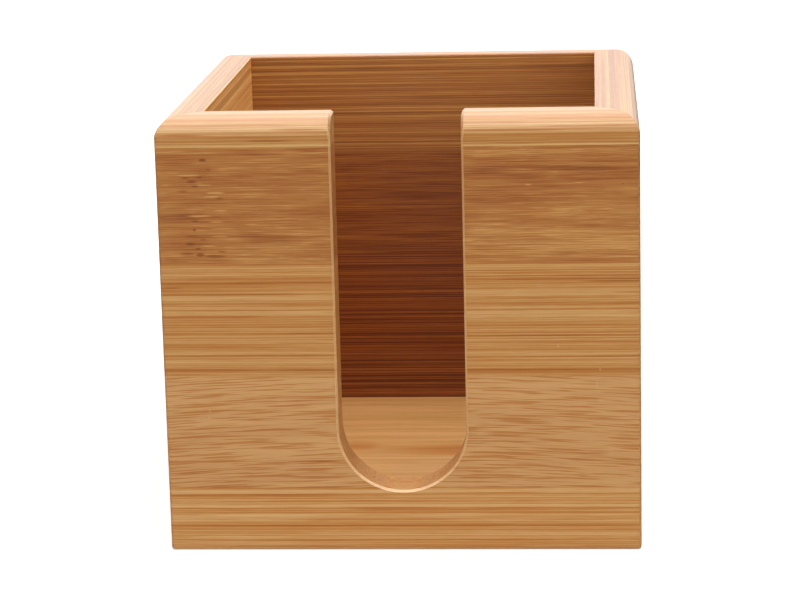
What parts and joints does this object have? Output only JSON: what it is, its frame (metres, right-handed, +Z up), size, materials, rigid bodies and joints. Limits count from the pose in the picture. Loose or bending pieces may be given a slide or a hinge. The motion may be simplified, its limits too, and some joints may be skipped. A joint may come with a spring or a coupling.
{
  "type": "open-topped bamboo tissue box",
  "caption": "Square open-topped box of laminated bamboo boards with mitred corners, rounded top edges and a U-shaped slot down the front for taking out folded tissues or napkins.",
  "frame": {"origin": "middle of the base, on the surface that the box stands on", "axes": "+X to the right seen from the front, +Y from the slotted front to the back, +Z up out of the open top"},
  "size_m": [0.125, 0.125, 0.1165],
  "materials": {
    "wall_bamboo": "natural bamboo strips, satin clear lacquer",
    "dark_bamboo": "darker bamboo strips with a culm node, satin clear lacquer",
    "floor_bamboo": "natural bamboo strips, satin clear lacquer"
  },
  "bodies": {
    "root": {"back_strip_1": "wall_bamboo", "back_strip_2": "wall_bamboo", "back_strip_3": "wall_bamboo", "back_strip_4": "wall_bamboo", "floor_strip_1": "floor_bamboo", "floor_strip_2": "floor_bamboo", "floor_strip_3": "floor_bamboo", "floor_strip_4": "floor_bamboo", "floor_strip_5": "floor_bamboo", "front_strip_1": "wall_bamboo", "front_strip_2_left": "wall_bamboo", "front_strip_2_right": "wall_bamboo", "front_strip_3_left": "wall_bamboo", "front_strip_3_right": "wall_bamboo", "front_strip_4_left": "dark_bamboo", "front_strip_4_right": "dark_bamboo", "front_strip_5_left": "wall_bamboo", "front_strip_5_right": "wall_bamboo", "left_strip_1": "wall_bamboo", "left_strip_2": "wall_bamboo", "left_strip_3": "wall_bamboo", "left_strip_4": "wall_bamboo", "left_strip_5": "wall_bamboo", "right_strip_1": "wall_bamboo", "right_strip_2": "wall_bamboo", "right_strip_3": "wall_bamboo", "right_strip_4": "wall_bamboo", "right_strip_5": "wall_bamboo"}
  },
  "joints": []
}
